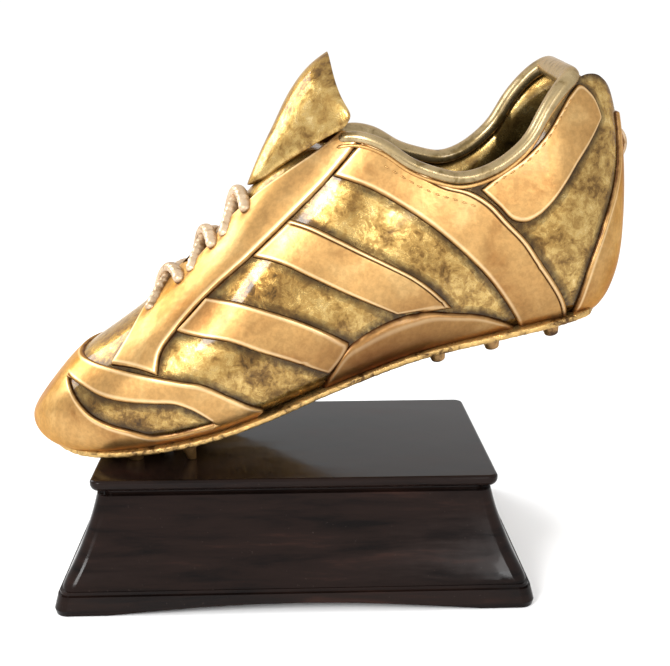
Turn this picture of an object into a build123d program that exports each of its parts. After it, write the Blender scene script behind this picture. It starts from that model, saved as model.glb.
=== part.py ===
"""Football boot trophy: a cast, gilded boot held toe down on a flared black plinth.

Frame: +Z up, Z = 0 is the plane the plinth stands on, +X runs from toe to heel, the lateral
side of the boot faces -Y, and the origin lies under the middle of the boot's length.
"""
from build123d import *
import os
import numpy as np

os.makedirs("parts", exist_ok=True)

# ---------------------------------------------------------------- driving dimensions, mm
BOOT_LENGTH = 229.2  # toe to heel, along X
BOOT_BREADTH = 86.0  # widest, across the ball of the foot
WALL = 4.0  # cast wall round the hollow
PANEL_THICKNESS = 1.4  # how far the light panels stand proud
SEAM = 0.8  # groove between two panels
SOLE_THICKNESS = 3.6
SOLE_INSET = 3.0  # sole rim inside the widest line of the upper
FLOOR_THICKNESS = 2.4  # cast floor between sole and insole
INSOLE_THICKNESS = 2.0
COLLAR_HEIGHT = 5.2  # padded rim, top to bottom
COLLAR_OVERHANG = 1.2  # padded rim proud of the panels, outside and inside
MEDIAL_RISE = 3.5  # the inner side of the mouth stands higher than the outer
MEDIAL_LEAD = 4.5  # and rises to the heel this much sooner
LACE_DIAMETER = 3.2
LACE_CLEARANCE = 0.2  # between the two cords of a crossing
STUD_DIAMETER = 8.0
STUD_LENGTH = 5.5
STUD_TAPER = 14.0  # degrees
STUD_SPREAD = 15.0  # rear stud axis from the boot's centre line
FRONT_STUD_SPREAD = 24.0
FRONT_STUD_LENGTH = 12.0  # before it is cut off level with the cap
LOOP_DIAMETER = 2.6

CAP_WIDTH = 150.0
CAP_DEPTH = 92.0
CAP_THICKNESS = 4.5
CAP_CORNER = 4.0
CAP_UPPER_ROUND = 1.2
CAP_LOWER_ROUND = 2.8
NECK_HEIGHT = 2.0  # shadow gap under the cap
NECK_INSET = 4.0
BLOCK_HEIGHT = 31.7
BLOCK_CORNER = 5.0
FOOT_HEIGHT = 8.5
FOOT_BEAD = 1.6
FOOT_CORNER = 5.0
FOOT_SPREAD = 12.75  # foot outside the cap, each side
ARCH_RISE = 3.6
LAND_LENGTH = 20.0  # corner land, along X
LAND_DEPTH = 16.0
PAD_THICKNESS = 1.2
PAD_MARGIN = 22.0  # pad edge inside the foot
PAD_CLEARANCE = 0.5

BOLT_DIAMETER = 6.0
BOLT_CLEARANCE = 0.3
BOLT_INSET = 23.0  # bolt axis inside the toe end of the cap
BOLT_HEAD = 10.0
BOLT_HEAD_HEIGHT = 4.0
RECESS_DIAMETER = 20.0
RECESS_DEPTH = 8.0  # into the block
WASHER_DIAMETER = 16.0
WASHER_THICKNESS = 1.5
INSERT_DIAMETER = 10.0
INSERT_LENGTH = 14.0
BOLT_END_GAP = 1.0

# ---------------------------------------------------------------- the boot's drawing
# The lines below are drawn for a boot 229.2 long and 86 broad whose studs stand at 46.7.
DRAWN_LENGTH = 229.2
DRAWN_BREADTH = 86.0
DRAWN_SEAT = 46.7
DRAWN_TOE = -103.0
DRAWN_HEEL = 126.2
DRAWN_MIDDLE = 12.56  # half way between the toe and the pull loop
DRAWN_BOLT = -52.0

STRETCH = BOOT_LENGTH / DRAWN_LENGTH
SPREAD = BOOT_BREADTH / DRAWN_BREADTH
BLOCK_TOP = FOOT_HEIGHT + BLOCK_HEIGHT
CAP_BOTTOM = BLOCK_TOP + NECK_HEIGHT
CAP_TOP = CAP_BOTTOM + CAP_THICKNESS
LIFT = CAP_TOP - DRAWN_SEAT
BOLT_X = (DRAWN_BOLT - DRAWN_MIDDLE) * STRETCH
PLINTH_X = BOLT_X - BOLT_INSET + CAP_WIDTH / 2

# Lines of the form, as (x, value): half breadth, underside, crown, height of the widest line,
# bend of the centre line, and roundness of the upper half of the section.
HALF_BREADTH = [(-103, 34), (-75, 38), (-45, 42.5), (-25, 43), (10, 37), (45, 31), (80, 30), (129, 31)]
KEEL = [(-103, 49), (-85, 48.8), (-60, 52), (-35, 57.5), (-10, 66), (15, 76), (45, 86), (75, 92.5),
        (105, 99), (129, 104)]
CROWN = [(-103, 70), (-90, 80.5), (-75, 90.5), (-60, 101.5), (-45, 114.5), (-30, 131), (-15, 149),
         (5, 172), (30, 200), (60, 225), (90, 228), (108, 205), (129, 190)]
BILGE = [(-103, 60), (-70, 66), (-35, 75), (0, 88), (50, 108), (90, 122), (129, 135)]
SWAY = [(-103, 4), (-60, 2), (-20, 0), (30, -2.5), (80, 0), (129, 1.5)]
ROUNDNESS = [(-103, 2.2), (-40, 2.0), (0, 1.7), (40, 1.7), (129, 2.0)]
LOWER_ROUNDNESS = 3.2
TOE_HEIGHT = 58.0
HEEL_HEIGHT = 135.0
TOE_PLAN_RADIUS = 42.0
TOE_SIDE_RADIUS = 26.0
HEEL_PLAN_RADIUS = 36.0
HEEL_SIDE_RADIUS = 13.5
PLAN_ROUNDNESS = 2.15
SIDE_ROUNDNESS = 2.0
SECTION_POINTS = 25
SHARES = [i / (SECTION_POINTS - 1) for i in range(SECTION_POINTS)]  # of the way round a section

# Edges seen from the side, as (x, height).
RIM_LINE = [(16, 166.5), (21, 167.5), (31, 165.4), (42, 158.4), (50, 155.4), (60, 153.4), (69, 155.4),
            (78, 160.4), (86, 168.4), (91, 177.4), (97, 185.4), (102, 190), (108, 192.3), (113.5, 191),
            (118, 185.5), (121.5, 174)]
THROAT_CUT = [(-16, 150), (-8, 155), (4, 162)]
EYESTAY_OUTER = [(25, 167), (14, 154), (-1, 139), (-15, 126), (-31, 112), (-43, 99), (-48, 92), (-49, 86)]
EYESTAY_INNER = [(18, 170), (10, 163.5), (-3, 154), (-11, 148), (-22, 138), (-37, 121), (-48, 113),
                 (-56, 104), (-63, 93), (-67, 87)]
TOE_UPPER = [(-112, 83), (-90, 84.5), (-73, 85), (-68, 85), (-50, 84), (-41, 83), (-33, 82), (-24, 78),
             (-7, 69)]
CRESCENT_UPPER = [(-86, 78), (-79, 77), (-71, 75), (-61, 74), (-51, 74), (-43, 74), (-37, 72), (-29, 67)]
CRESCENT_LOWER = [(-86, 78), (-81, 73), (-76, 69), (-69, 66), (-60, 64), (-53, 62), (-45, 62.5),
                  (-38, 64.5), (-29, 67)]
FRONT_BAND_UPPER = [(-30, 111.4), (-21, 111), (-9, 108), (3, 104), (12, 100), (18.2, 96.8)]
FRONT_BAND_LOWER = [(-41.6, 99), (-34, 98), (-24, 97), (-12, 93), (-3, 90), (5, 87), (10.6, 85)]
REAR_BAND_UPPER = [(0.4, 138.8), (7, 137), (16, 133), (26, 128), (36, 123), (45, 118), (51, 113.5),
                   (56.5, 108.2)]
REAR_BAND_LOWER = [(-13.6, 125.4), (-6, 124), (6, 119), (19, 113), (28, 109), (35, 106)]
QUARTER_UPPER = [(27, 166.5), (38, 161), (48, 155), (56, 151), (64, 149), (71, 145), (78, 138),
                 (85, 131), (90, 124), (95, 117), (99, 111), (104, 100)]
QUARTER_LOWER = [(15.6, 153.6), (27, 150), (38, 144), (50, 136), (62, 126), (70, 118), (77, 109),
                 (86, 95)]
ANKLE_UPPER = [(67, 149.4), (74, 155), (83, 161), (91, 169.4), (96, 177.4), (100, 183.4), (103, 186),
               (107, 183.6), (112, 174)]
ANKLE_LOWER = [(67, 149.4), (74, 143.2), (80, 138), (84, 137.6), (88, 139.4), (93, 144), (98, 151),
               (102, 157.6), (107, 165), (112, 174)]
SADDLE_UPPER = [(9, 75), (13, 84), (20, 95), (26, 99), (37, 104), (47, 106), (59, 105), (68, 104),
                (77, 101), (88, 94.5)]
HEEL_STRIP_EDGE = [(120, 176), (121, 166), (119.6, 152), (118, 146), (115.4, 139), (112.6, 131), (110, 124),
                   (107, 114), (104.4, 99)]
SOLE_END = 118.0
HOLLOW_START = 12.0
BODY_TOP = 240.0
BODY_BOTTOM = 30.0
TOE_RUN_OUT = (6.0, 4.0)  # how far the sole's line runs past the toe, and how far it rises there
HEEL_RUN_OUT = (18.0, 9.0)
REACH = 70.0  # cutters run this far from the centre line

REAR_STUDS = [54.0, 75.0, 98.0]
FRONT_STUDS = [-62.0, -42.0]
LACE_ROWS = {"lace_lower": (-54.5, -42.5), "lace_middle": (-38.5, -30.0), "lace_upper": (-26.0, -17.5)}
LACE_LANDING = 17.0  # on the eyestay, from the centre line
LACE_HUMP = 1.8  # axis of the lower cord above the throat
TONGUE = [(-17.0, 150.0, 12.0, 4.0, 3.0), (-12.5, 160.0, 23.0, 14.0, 5.0), (-7.0, 171.0, 28.0, 20.0, 6.0),
          (-0.5, 183.6, 28.0, 21.0, 6.0), (6.0, 192.0, 23.0, 15.0, 5.0), (12.0, 198.0, 13.0, 7.0, 3.0)]
LOOP_TOP = (120.5, 169.5)
LOOP_BOTTOM = (123.6, 157.0)
LOOP_BACK = 127.4


# ---------------------------------------------------------------- geometry of the form
def fair(x, knots):
    """Value at x of a smooth cubic curve through the knots."""
    knot_x, knot_y = np.array(knots, float).T
    step = np.diff(knot_x)
    slope = np.diff(knot_y) / step
    tangent = np.empty_like(knot_y)
    tangent[1:-1] = (slope[:-1] * step[1:] + slope[1:] * step[:-1]) / (step[:-1] + step[1:])
    tangent[0] = 1.5 * slope[0] - 0.5 * tangent[1]
    tangent[-1] = 1.5 * slope[-1] - 0.5 * tangent[-2]
    x = np.clip(x, knot_x[0], knot_x[-1])
    i = np.clip(np.searchsorted(knot_x, x) - 1, 0, len(step) - 1)
    t = (x - knot_x[i]) / step[i]
    return ((1 + 2 * t) * (1 - t) ** 2 * knot_y[i] + t * (1 - t) ** 2 * step[i] * tangent[i]
            + t * t * (3 - 2 * t) * knot_y[i + 1] + t * t * (t - 1) * step[i] * tangent[i + 1])


def closing(distance, radius, roundness):
    """Share of the full size at a distance from an end that closes over the radius."""
    q = np.clip(distance / radius, 0, 1)
    return (1 - (1 - q) ** roundness) ** (1 / roundness)


def form_lines(x, grow):
    """Half breadth, underside, widest height and crown of the form grown outwards by grow.

    A shrunk form keeps its underside, so that the floor cuts it where its sides are steep.
    """
    from_toe = x - DRAWN_TOE + grow
    from_heel = DRAWN_HEEL + grow - x
    plan = (closing(from_toe, TOE_PLAN_RADIUS, PLAN_ROUNDNESS)
            * closing(from_heel, HEEL_PLAN_RADIUS, PLAN_ROUNDNESS))
    toe = closing(from_toe, TOE_SIDE_RADIUS, SIDE_ROUNDNESS)
    heel = closing(from_heel, HEEL_SIDE_RADIUS, SIDE_ROUNDNESS)
    heights = []
    for line, offset in ((KEEL, -max(grow, 0.0)), (BILGE, 0.0), (CROWN, grow)):
        z = TOE_HEIGHT + (fair(x, line) + offset - TOE_HEIGHT) * toe
        heights.append(HEEL_HEIGHT + (z - HEEL_HEIGHT) * heel)
    return (fair(x, HALF_BREADTH) * SPREAD + grow) * plan, *heights


def section_points(x, grow):
    """Closed section of the form, from its lowest point up the +Y side and round.

    It is a superellipse, fuller below its widest line than above.
    """
    half, low, wide, high = form_lines(x, grow)
    turn = (np.array(SHARES) - 0.25) * 2 * np.pi
    across, up = np.cos(turn), np.sin(turn)
    power = 2 / np.where(up >= 0, fair(x, ROUNDNESS), LOWER_ROUNDNESS)
    reach = np.where(up >= 0, high - wide, wide - low)
    y = fair(x, SWAY) + half * np.sign(across) * np.abs(across) ** power
    z = wide + reach * np.sign(up) * np.abs(up) ** power
    points = list(zip(y.tolist(), z.tolist()))
    return points[:-1] + points[:1]


def upper_height(x, y):
    """Height of the form's upper half at a place seen from above."""
    half, low, wide, high = form_lines(x, 0.0)
    power = fair(x, ROUNDNESS)
    share = abs(y - fair(x, SWAY)) / half
    return float(wide + (high - wide) * (1 - share**power) ** (1 / power))


def along(x):
    """Place along X of a drawn x."""
    return (x - DRAWN_MIDDLE) * STRETCH


def drawn(points):
    """Side view points of the drawing as sketch points."""
    return [(along(x), z) for x, z in points]


def raised(points, offset):
    """The same line, moved up."""
    return [(x, z + offset) for x, z in points]


def station(x):
    """Upright plane across the boot at a drawn x."""
    return Plane(origin=(along(x), 0, LIFT), x_dir=(0, 1, 0), z_dir=(1, 0, 0))


def stations(grow, start=None):
    """Drawn places of the sections, close together where an end rounds off."""
    toe, heel = DRAWN_TOE - grow, DRAWN_HEEL + grow
    near_toe = [toe + d for d in (0.05, 0.8, 3.0, 7.0, 13.0, 21.0)]
    near_heel = [heel - d for d in (21.0, 13.0, 7.0, 3.0, 0.8, 0.05)]
    middle = [-64.0, -44.0, -24.0, -4.0, 16.0, 36.0, 56.0, 76.0, 92.0]
    places = near_toe + middle + near_heel
    return places if start is None else [start] + [x for x in middle + near_heel if x > start + 2]


SIDE = Plane(origin=(0, 0, LIFT), x_dir=(1, 0, 0), z_dir=(0, -1, 0))
SOLE_LINE_PLACES = [-102.9, -101.5, -98, -92, -84, -72, -56, -38, -18, 2, 24, 48, 72, 92, 108, SOLE_END]


def sole_height(x, offset):
    """Height of a line that follows the underside of the form at an offset."""
    return float(form_lines(x, 0.0)[1]) + offset


def sole_line(offset):
    """Side view line that follows the underside of the form and runs out past both ends."""
    line = [(x, sole_height(x, offset)) for x in SOLE_LINE_PLACES]
    toe, heel = line[0], line[-1]
    return [(toe[0] - TOE_RUN_OUT[0], toe[1] + TOE_RUN_OUT[1])] + line + [
        (heel[0] + HEEL_RUN_OUT[0], heel[1] + HEEL_RUN_OUT[1])]


SOLE_DROP = 0.6  # underside of the sole below the form
WAIST_RIM = 60.0  # drawn place of the rim's lowest point
SOLE_TOP = SOLE_THICKNESS - SOLE_DROP
RIM_START, RIM_SPAN = RIM_LINE[0][0], RIM_LINE[-1][0] - RIM_LINE[0][0]


def inner_rim_point(x, z):
    """Point of the mouth's inner rim that answers to a point of the outer one."""
    rise = MEDIAL_RISE * np.sin(np.pi * (x - RIM_START) / RIM_SPAN)
    lead = MEDIAL_LEAD * np.sin(np.pi * max(x - WAIST_RIM, 0) / (RIM_LINE[-1][0] - WAIST_RIM))
    return float(x - lead), float(z + rise)


MEDIAL_RIM = [inner_rim_point(x, z) for x, z in RIM_LINE]

# ---------------------------------------------------------------- plinth
with BuildPart() as plinth_cap:
    with BuildSketch(Plane.XY.offset(CAP_BOTTOM)):
        with Locations((PLINTH_X, 0)):
            RectangleRounded(CAP_WIDTH, CAP_DEPTH, CAP_CORNER)
    extrude(amount=CAP_THICKNESS)
    fillet(plinth_cap.faces().sort_by(Axis.Z)[-1].edges(), CAP_UPPER_ROUND)
    fillet(plinth_cap.faces().sort_by(Axis.Z)[0].edges(), CAP_LOWER_ROUND)
    with Locations(Plane(origin=(BOLT_X, 0, CAP_TOP))):
        Hole(BOLT_DIAMETER / 2 + BOLT_CLEARANCE)
plinth_cap.part.label = "plinth_cap"
export_step(plinth_cap.part, "parts/plinth_cap.step")

FLARE = [(0.0, 10.2), (0.18, 7.6), (0.34, 5.1), (0.5, 3.0), (0.66, 1.1), (0.83, -0.6), (1.0, -2.0)]
with BuildPart() as plinth_block:
    for share, spread in FLARE:
        with BuildSketch(Plane.XY.offset(FOOT_HEIGHT + share * BLOCK_HEIGHT)):
            with Locations((PLINTH_X, 0)):
                RectangleRounded(CAP_WIDTH + 2 * spread, CAP_DEPTH + 2 * spread, BLOCK_CORNER)
    loft()
    with BuildSketch(Plane.XY.offset(BLOCK_TOP)):
        with Locations((PLINTH_X, 0)):
            RectangleRounded(CAP_WIDTH - 2 * NECK_INSET, CAP_DEPTH - 2 * NECK_INSET, CAP_CORNER)
    extrude(amount=NECK_HEIGHT)
    with Locations(Plane(origin=(BOLT_X, 0, FOOT_HEIGHT), x_dir=(1, 0, 0), z_dir=(0, 0, -1))):
        CounterBoreHole(BOLT_DIAMETER / 2 + BOLT_CLEARANCE, RECESS_DIAMETER / 2, RECESS_DEPTH)
plinth_block.part.label = "plinth_block"
export_step(plinth_block.part, "parts/plinth_block.step")

FOOT_WIDTH = CAP_WIDTH + 2 * FOOT_SPREAD
FOOT_DEPTH = CAP_DEPTH + 2 * FOOT_SPREAD
PAD_TOP = ARCH_RISE + 0.4 + PAD_THICKNESS
FOOT_STEPS = [(0.0, 0.4), (2.0, 0.0), (FOOT_HEIGHT - FOOT_BEAD, 1.2)]
with BuildPart() as plinth_foot:
    for height, inset in FOOT_STEPS:
        with BuildSketch(Plane.XY.offset(height)):
            with Locations((PLINTH_X, 0)):
                RectangleRounded(FOOT_WIDTH - 2 * inset, FOOT_DEPTH - 2 * inset, FOOT_CORNER)
    loft(ruled=True)
    with BuildSketch(Plane.XY.offset(FOOT_HEIGHT - FOOT_BEAD)):
        with Locations((PLINTH_X, 0)):
            RectangleRounded(FOOT_WIDTH - 4, FOOT_DEPTH - 4, FOOT_CORNER - 1)
    extrude(amount=FOOT_BEAD)
    for plane, centre, size, land in ((Plane.XZ, PLINTH_X, FOOT_WIDTH, LAND_LENGTH),
                                      (Plane.YZ, 0.0, FOOT_DEPTH, LAND_DEPTH)):
        with BuildSketch(plane):
            with BuildLine():
                start = (centre - size / 2 + land, 0)
                end = (centre + size / 2 - land, 0)
                ThreePointArc(start, (centre, ARCH_RISE), end)
                Line(end, start)
            make_face()
        extrude(amount=FOOT_WIDTH, both=True, mode=Mode.SUBTRACT)
    with BuildSketch():
        with Locations((PLINTH_X, 0)):
            Rectangle(FOOT_WIDTH - 2 * PAD_MARGIN, FOOT_DEPTH - 2 * PAD_MARGIN)
    extrude(amount=PAD_TOP, mode=Mode.SUBTRACT)
    with Locations(Plane(origin=(BOLT_X, 0, FOOT_HEIGHT))):
        Hole(RECESS_DIAMETER / 2)
plinth_foot.part.label = "plinth_foot"
export_step(plinth_foot.part, "parts/plinth_foot.step")

with BuildPart() as felt_pad:
    with BuildSketch(Plane.XY.offset(PAD_TOP - PAD_THICKNESS)):
        with Locations((PLINTH_X, 0)):
            pad_width = FOOT_WIDTH - 2 * PAD_MARGIN - 2 * PAD_CLEARANCE
            Rectangle(pad_width, FOOT_DEPTH - 2 * PAD_MARGIN - 2 * PAD_CLEARANCE)
    extrude(amount=PAD_THICKNESS)
felt_pad.part.label = "felt_pad"
export_step(felt_pad.part, "parts/felt_pad.step")

# ---------------------------------------------------------------- the boot's form, grown and shrunk
ACROSS = [(1, 0), (1, 0)]


def lofted_form(grow, start=None):
    """Solid of the form, whose sections all have their points at the same shares of the way round."""
    with BuildPart() as solid:
        for x in stations(grow, start):
            with BuildSketch(station(x)):
                with BuildLine():
                    add(Edge.make_spline(section_points(x, grow), ACROSS, parameters=SHARES))
                make_face()
        loft()
    return solid


form = lofted_form(0.0)
panel_form = lofted_form(PANEL_THICKNESS)
hollow_form = lofted_form(-WALL, HOLLOW_START)


def between(upper, lower):
    """Closed side view outline between two lines that run the same way."""
    with BuildSketch(SIDE) as shape:
        with BuildLine():
            top = Spline(*drawn(upper))
            bottom = Spline(*drawn(lower))
            if (top @ 0 - bottom @ 0).length > 1e-4:
                Line(top @ 0, bottom @ 0)
            if (top @ 1 - bottom @ 1).length > 1e-4:
                Line(top @ 1, bottom @ 1)
        make_face()
    return shape


def above(line):
    """Closed side view outline of all that lies above a line."""
    with BuildSketch(SIDE) as shape:
        with BuildLine():
            edge = Spline(*drawn(line))
            start, end = drawn(line)[0], drawn(line)[-1]
            Polyline(start, (start[0], BODY_TOP), (end[0], BODY_TOP), end)
        make_face()
    return shape


def below(line):
    """Closed side view outline of all that lies below a line."""
    with BuildSketch(SIDE) as shape:
        with BuildLine():
            Spline(*drawn(line))
            start, end = drawn(line)[0], drawn(line)[-1]
            Polyline(start, (start[0], BODY_BOTTOM), (end[0], BODY_BOTTOM), end)
        make_face()
    return shape


# ---------------------------------------------------------------- cutters
def mouth_outline(rim, offset):
    """Everything above the throat and the rim of one side, moved up by an offset."""
    return above(THROAT_CUT + raised(rim, offset))


lateral_mouth = mouth_outline(RIM_LINE, -COLLAR_HEIGHT / 2)
medial_mouth = mouth_outline(MEDIAL_RIM, -COLLAR_HEIGHT / 2)
with BuildPart() as mouth_cutter:
    extrude(lateral_mouth.sketch, amount=REACH)
    extrude(medial_mouth.sketch, amount=-REACH)

sole_outline = below(sole_line(SOLE_TOP))
with BuildPart() as sole_cutter:
    extrude(sole_outline.sketch, amount=REACH, both=True)

underside_outline = below(sole_line(-SOLE_DROP))
with BuildPart() as underside_cutter:
    extrude(underside_outline.sketch, amount=REACH, both=True)

floor_outline = below(sole_line(SOLE_TOP + FLOOR_THICKNESS))
with BuildPart() as floor_cutter:
    extrude(floor_outline.sketch, amount=REACH, both=True)

insole_outline = below(sole_line(SOLE_TOP + FLOOR_THICKNESS + INSOLE_THICKNESS))
with BuildPart() as insole_cutter:
    extrude(insole_outline.sketch, amount=REACH, both=True)

# ---------------------------------------------------------------- body, insole, outsole
INSERT_BOTTOM = LIFT + sole_height(DRAWN_BOLT, SOLE_TOP) + 1.0
INSERT_TOP = INSERT_BOTTOM + INSERT_LENGTH

with BuildPart() as hollow:
    add(hollow_form.part)
    add(floor_cutter.part, mode=Mode.SUBTRACT)

with BuildPart() as boot_body:
    add(form.part)
    add(sole_cutter.part, mode=Mode.SUBTRACT)
    add(mouth_cutter.part, mode=Mode.SUBTRACT)
    add(hollow.part, mode=Mode.SUBTRACT)
    with BuildSketch(Plane(origin=(BOLT_X, 0, INSERT_TOP), z_dir=(0, 0, -1))):
        Circle(INSERT_DIAMETER / 2)
    extrude(amount=INSERT_TOP, mode=Mode.SUBTRACT)
boot_body.part.label = "boot_body"
export_step(boot_body.part, "parts/boot_body.step")

with BuildPart() as insole:
    add(hollow.part)
    add(insole_cutter.part, mode=Mode.INTERSECT)
insole.part.label = "insole"
export_step(insole.part, "parts/insole.step")

SOLE_PLAN_PLACES = [-98, -94, -88, -78, -64, -44, -20, 8, 36, 64, 90, 108, SOLE_END]


def sole_edge(side):
    """Rim of the sole seen from above, from the toe to the heel."""
    tip = (along(DRAWN_TOE + SOLE_INSET), fair(DRAWN_TOE, SWAY))
    rim = [(along(x), fair(x, SWAY) + side * form_lines(x, -SOLE_INSET)[0]) for x in SOLE_PLAN_PLACES]
    return [tip] + rim


with BuildPart() as outsole:
    with BuildSketch():
        with BuildLine():
            lateral = Spline(*sole_edge(-1), tangents=((0, -1), (1, 0.2)))
            medial = Spline(*sole_edge(1), tangents=((0, 1), (1, -0.2)))
            Line(lateral @ 1, medial @ 1)
        make_face()
    extrude(amount=LIFT + BODY_TOP)
    add(sole_cutter.part, mode=Mode.INTERSECT)
    add(underside_cutter.part, mode=Mode.SUBTRACT)
    with Locations(Plane(origin=(BOLT_X, 0, INSERT_TOP))):
        Hole(BOLT_DIAMETER / 2 + BOLT_CLEARANCE)
outsole.part.label = "outsole"
export_step(outsole.part, "parts/outsole.step")


# ---------------------------------------------------------------- studs
def stud_plane(x, y):
    """Plane inside the sole whose normal points down through it, square to its underside."""
    step = 2.0
    rise = sole_height(x + step, -SOLE_DROP) - sole_height(x - step, -SOLE_DROP)
    slope = rise / (2 * step * STRETCH)
    root = LIFT + sole_height(x, SOLE_THICKNESS / 2 - SOLE_DROP)
    return Plane(origin=(along(x), y, root), z_dir=(slope, 0, -1))


with BuildPart() as rear_studs:
    for x in REAR_STUDS:
        for side in (-1, 1):
            with BuildSketch(stud_plane(x, fair(x, SWAY) + side * STUD_SPREAD)):
                Circle(STUD_DIAMETER / 2)
            extrude(amount=STUD_LENGTH + SOLE_THICKNESS / 2, taper=STUD_TAPER)
    add(outsole.part, mode=Mode.SUBTRACT)
rear_studs.part.label = "rear_studs"
export_step(rear_studs.part, "parts/rear_studs.step")

with BuildPart() as front_studs:
    for x in FRONT_STUDS:
        for side in (-1, 1):
            with BuildSketch(stud_plane(x, fair(x, SWAY) + side * FRONT_STUD_SPREAD)):
                Circle(STUD_DIAMETER / 2)
            extrude(amount=FRONT_STUD_LENGTH + SOLE_THICKNESS / 2, taper=STUD_TAPER)
    add(outsole.part, mode=Mode.SUBTRACT)
    split(bisect_by=Plane.XY.offset(CAP_TOP), keep=Keep.TOP)
front_studs.part.label = "front_studs"
export_step(front_studs.part, "parts/front_studs.step")

# ---------------------------------------------------------------- raised panels
with BuildPart() as rind:
    add(panel_form.part)
    add(form.part, mode=Mode.SUBTRACT)
    add(sole_cutter.part, mode=Mode.SUBTRACT)
    add(mouth_cutter.part, mode=Mode.SUBTRACT)


def panel(name, outline, reach):
    """Piece of the rind inside an outline seen from the side; reach < 0 is the medial side."""
    with BuildPart() as piece:
        extrude(outline.sketch, amount=reach, both=name in BOTH_SIDES)
        add(rind.part, mode=Mode.INTERSECT)
    piece.part.label = name
    export_step(piece.part, f"parts/{name}.step")
    return piece


BOTH_SIDES = ("toe_cap", "heel_strip")
PAIRED = {
    "eyestay": between(EYESTAY_INNER, EYESTAY_OUTER),
    "quarter_band": between(QUARTER_UPPER, QUARTER_LOWER),
    "rear_side_band": between(REAR_BAND_UPPER, REAR_BAND_LOWER),
    "front_side_band": between(FRONT_BAND_UPPER, FRONT_BAND_LOWER),
    "ankle_panel": between(ANKLE_UPPER, ANKLE_LOWER),
    "waist_saddle": below(SADDLE_UPPER),
}
panels = {}
for name, outline in PAIRED.items():
    for side, reach in (("lateral", REACH), ("medial", -REACH)):
        panels[f"{name}_{side}"] = panel(f"{name}_{side}", outline, reach)

crescent = between(CRESCENT_UPPER, CRESCENT_LOWER)
toe_outline = below(TOE_UPPER)
with BuildSketch(SIDE) as toe_shape:
    add(toe_outline.sketch_local)
    add(crescent.sketch_local, mode=Mode.SUBTRACT)
panel("toe_cap", toe_shape, REACH)

with BuildSketch(SIDE) as heel_shape:
    with BuildLine():
        edge = Spline(*drawn(HEEL_STRIP_EDGE))
        back = along(DRAWN_HEEL + 2 * PANEL_THICKNESS + 2)
        start, end = drawn(HEEL_STRIP_EDGE)[0], drawn(HEEL_STRIP_EDGE)[-1]
        Polyline(start, (back, start[1]), (back, end[1]), end)
    make_face()
panel("heel_strip", heel_shape, REACH)

# ---------------------------------------------------------------- collar, tongue, laces, loop
collar_outer = lofted_form(PANEL_THICKNESS + COLLAR_OVERHANG)
collar_inner = lofted_form(-WALL - COLLAR_OVERHANG, HOLLOW_START + COLLAR_OVERHANG)
lateral_rim = between(raised(RIM_LINE, COLLAR_HEIGHT / 2), raised(RIM_LINE, -COLLAR_HEIGHT / 2))
medial_rim = between(raised(MEDIAL_RIM, COLLAR_HEIGHT / 2), raised(MEDIAL_RIM, -COLLAR_HEIGHT / 2))
with BuildPart() as collar_roll:
    extrude(lateral_rim.sketch, amount=REACH)
    extrude(medial_rim.sketch, amount=-REACH)
    add(collar_outer.part, mode=Mode.INTERSECT)
    add(collar_inner.part, mode=Mode.SUBTRACT)
collar_roll.part.label = "collar_roll"
export_step(collar_roll.part, "parts/collar_roll.step")

with BuildPart() as tongue:
    for i, (x, z, half, sag, thickness) in enumerate(TONGUE):
        ahead = TONGUE[min(i + 1, len(TONGUE) - 1)]
        behind = TONGUE[max(i - 1, 0)]
        rise = (along(ahead[0]) - along(behind[0]), 0, ahead[1] - behind[1])
        with BuildSketch(Plane(origin=(along(x), fair(x, SWAY), LIFT + z), x_dir=(0, 1, 0), z_dir=rise)):
            with BuildLine():
                ThreePointArc((-half, -sag), (0, 0), (half, -sag))
                ThreePointArc((half, -sag), (0, -thickness), (-half, -sag))
            make_face()
    loft()
    add(form.part, mode=Mode.SUBTRACT)
    for name in ("eyestay_lateral", "eyestay_medial"):
        add(panels[name].part, mode=Mode.SUBTRACT)
    add(collar_roll.part, mode=Mode.SUBTRACT)
tongue.part.label = "tongue"
export_step(tongue.part, "parts/tongue.step")

for name, (low, high) in LACE_ROWS.items():
    middle = (low + high) / 2
    crown = float(form_lines(middle, 0.0)[3])
    with BuildPart() as lace:
        for lift, lateral_x, medial_x in ((0.0, low, high), (LACE_DIAMETER + LACE_CLEARANCE, high, low)):
            lateral_y, medial_y = -LACE_LANDING, LACE_LANDING
            with BuildLine() as cord:
                ThreePointArc((along(lateral_x), lateral_y, LIFT + upper_height(lateral_x, lateral_y)),
                              (along(middle), 0, LIFT + crown + LACE_HUMP + lift),
                              (along(medial_x), medial_y, LIFT + upper_height(medial_x, medial_y)))
            with BuildSketch(Plane(origin=cord.line @ 0, z_dir=cord.line % 0)):
                Circle(LACE_DIAMETER / 2)
            sweep(path=cord.line)
        add(panel_form.part, mode=Mode.SUBTRACT)
    lace.part.label = name
    export_step(lace.part, f"parts/{name}.step")

with BuildPart() as heel_loop:
    with BuildLine(SIDE) as bow:
        ThreePointArc((along(LOOP_TOP[0]), LOOP_TOP[1]),
                      (along(LOOP_BACK), (LOOP_TOP[1] + LOOP_BOTTOM[1]) / 2),
                      (along(LOOP_BOTTOM[0]), LOOP_BOTTOM[1]))
    with BuildSketch(Plane(origin=bow.line @ 0, z_dir=bow.line % 0)):
        Circle(LOOP_DIAMETER / 2)
    sweep(path=bow.line)
    add(panel_form.part, mode=Mode.SUBTRACT)
heel_loop.part.label = "heel_loop"
export_step(heel_loop.part, "parts/heel_loop.step")

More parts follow.
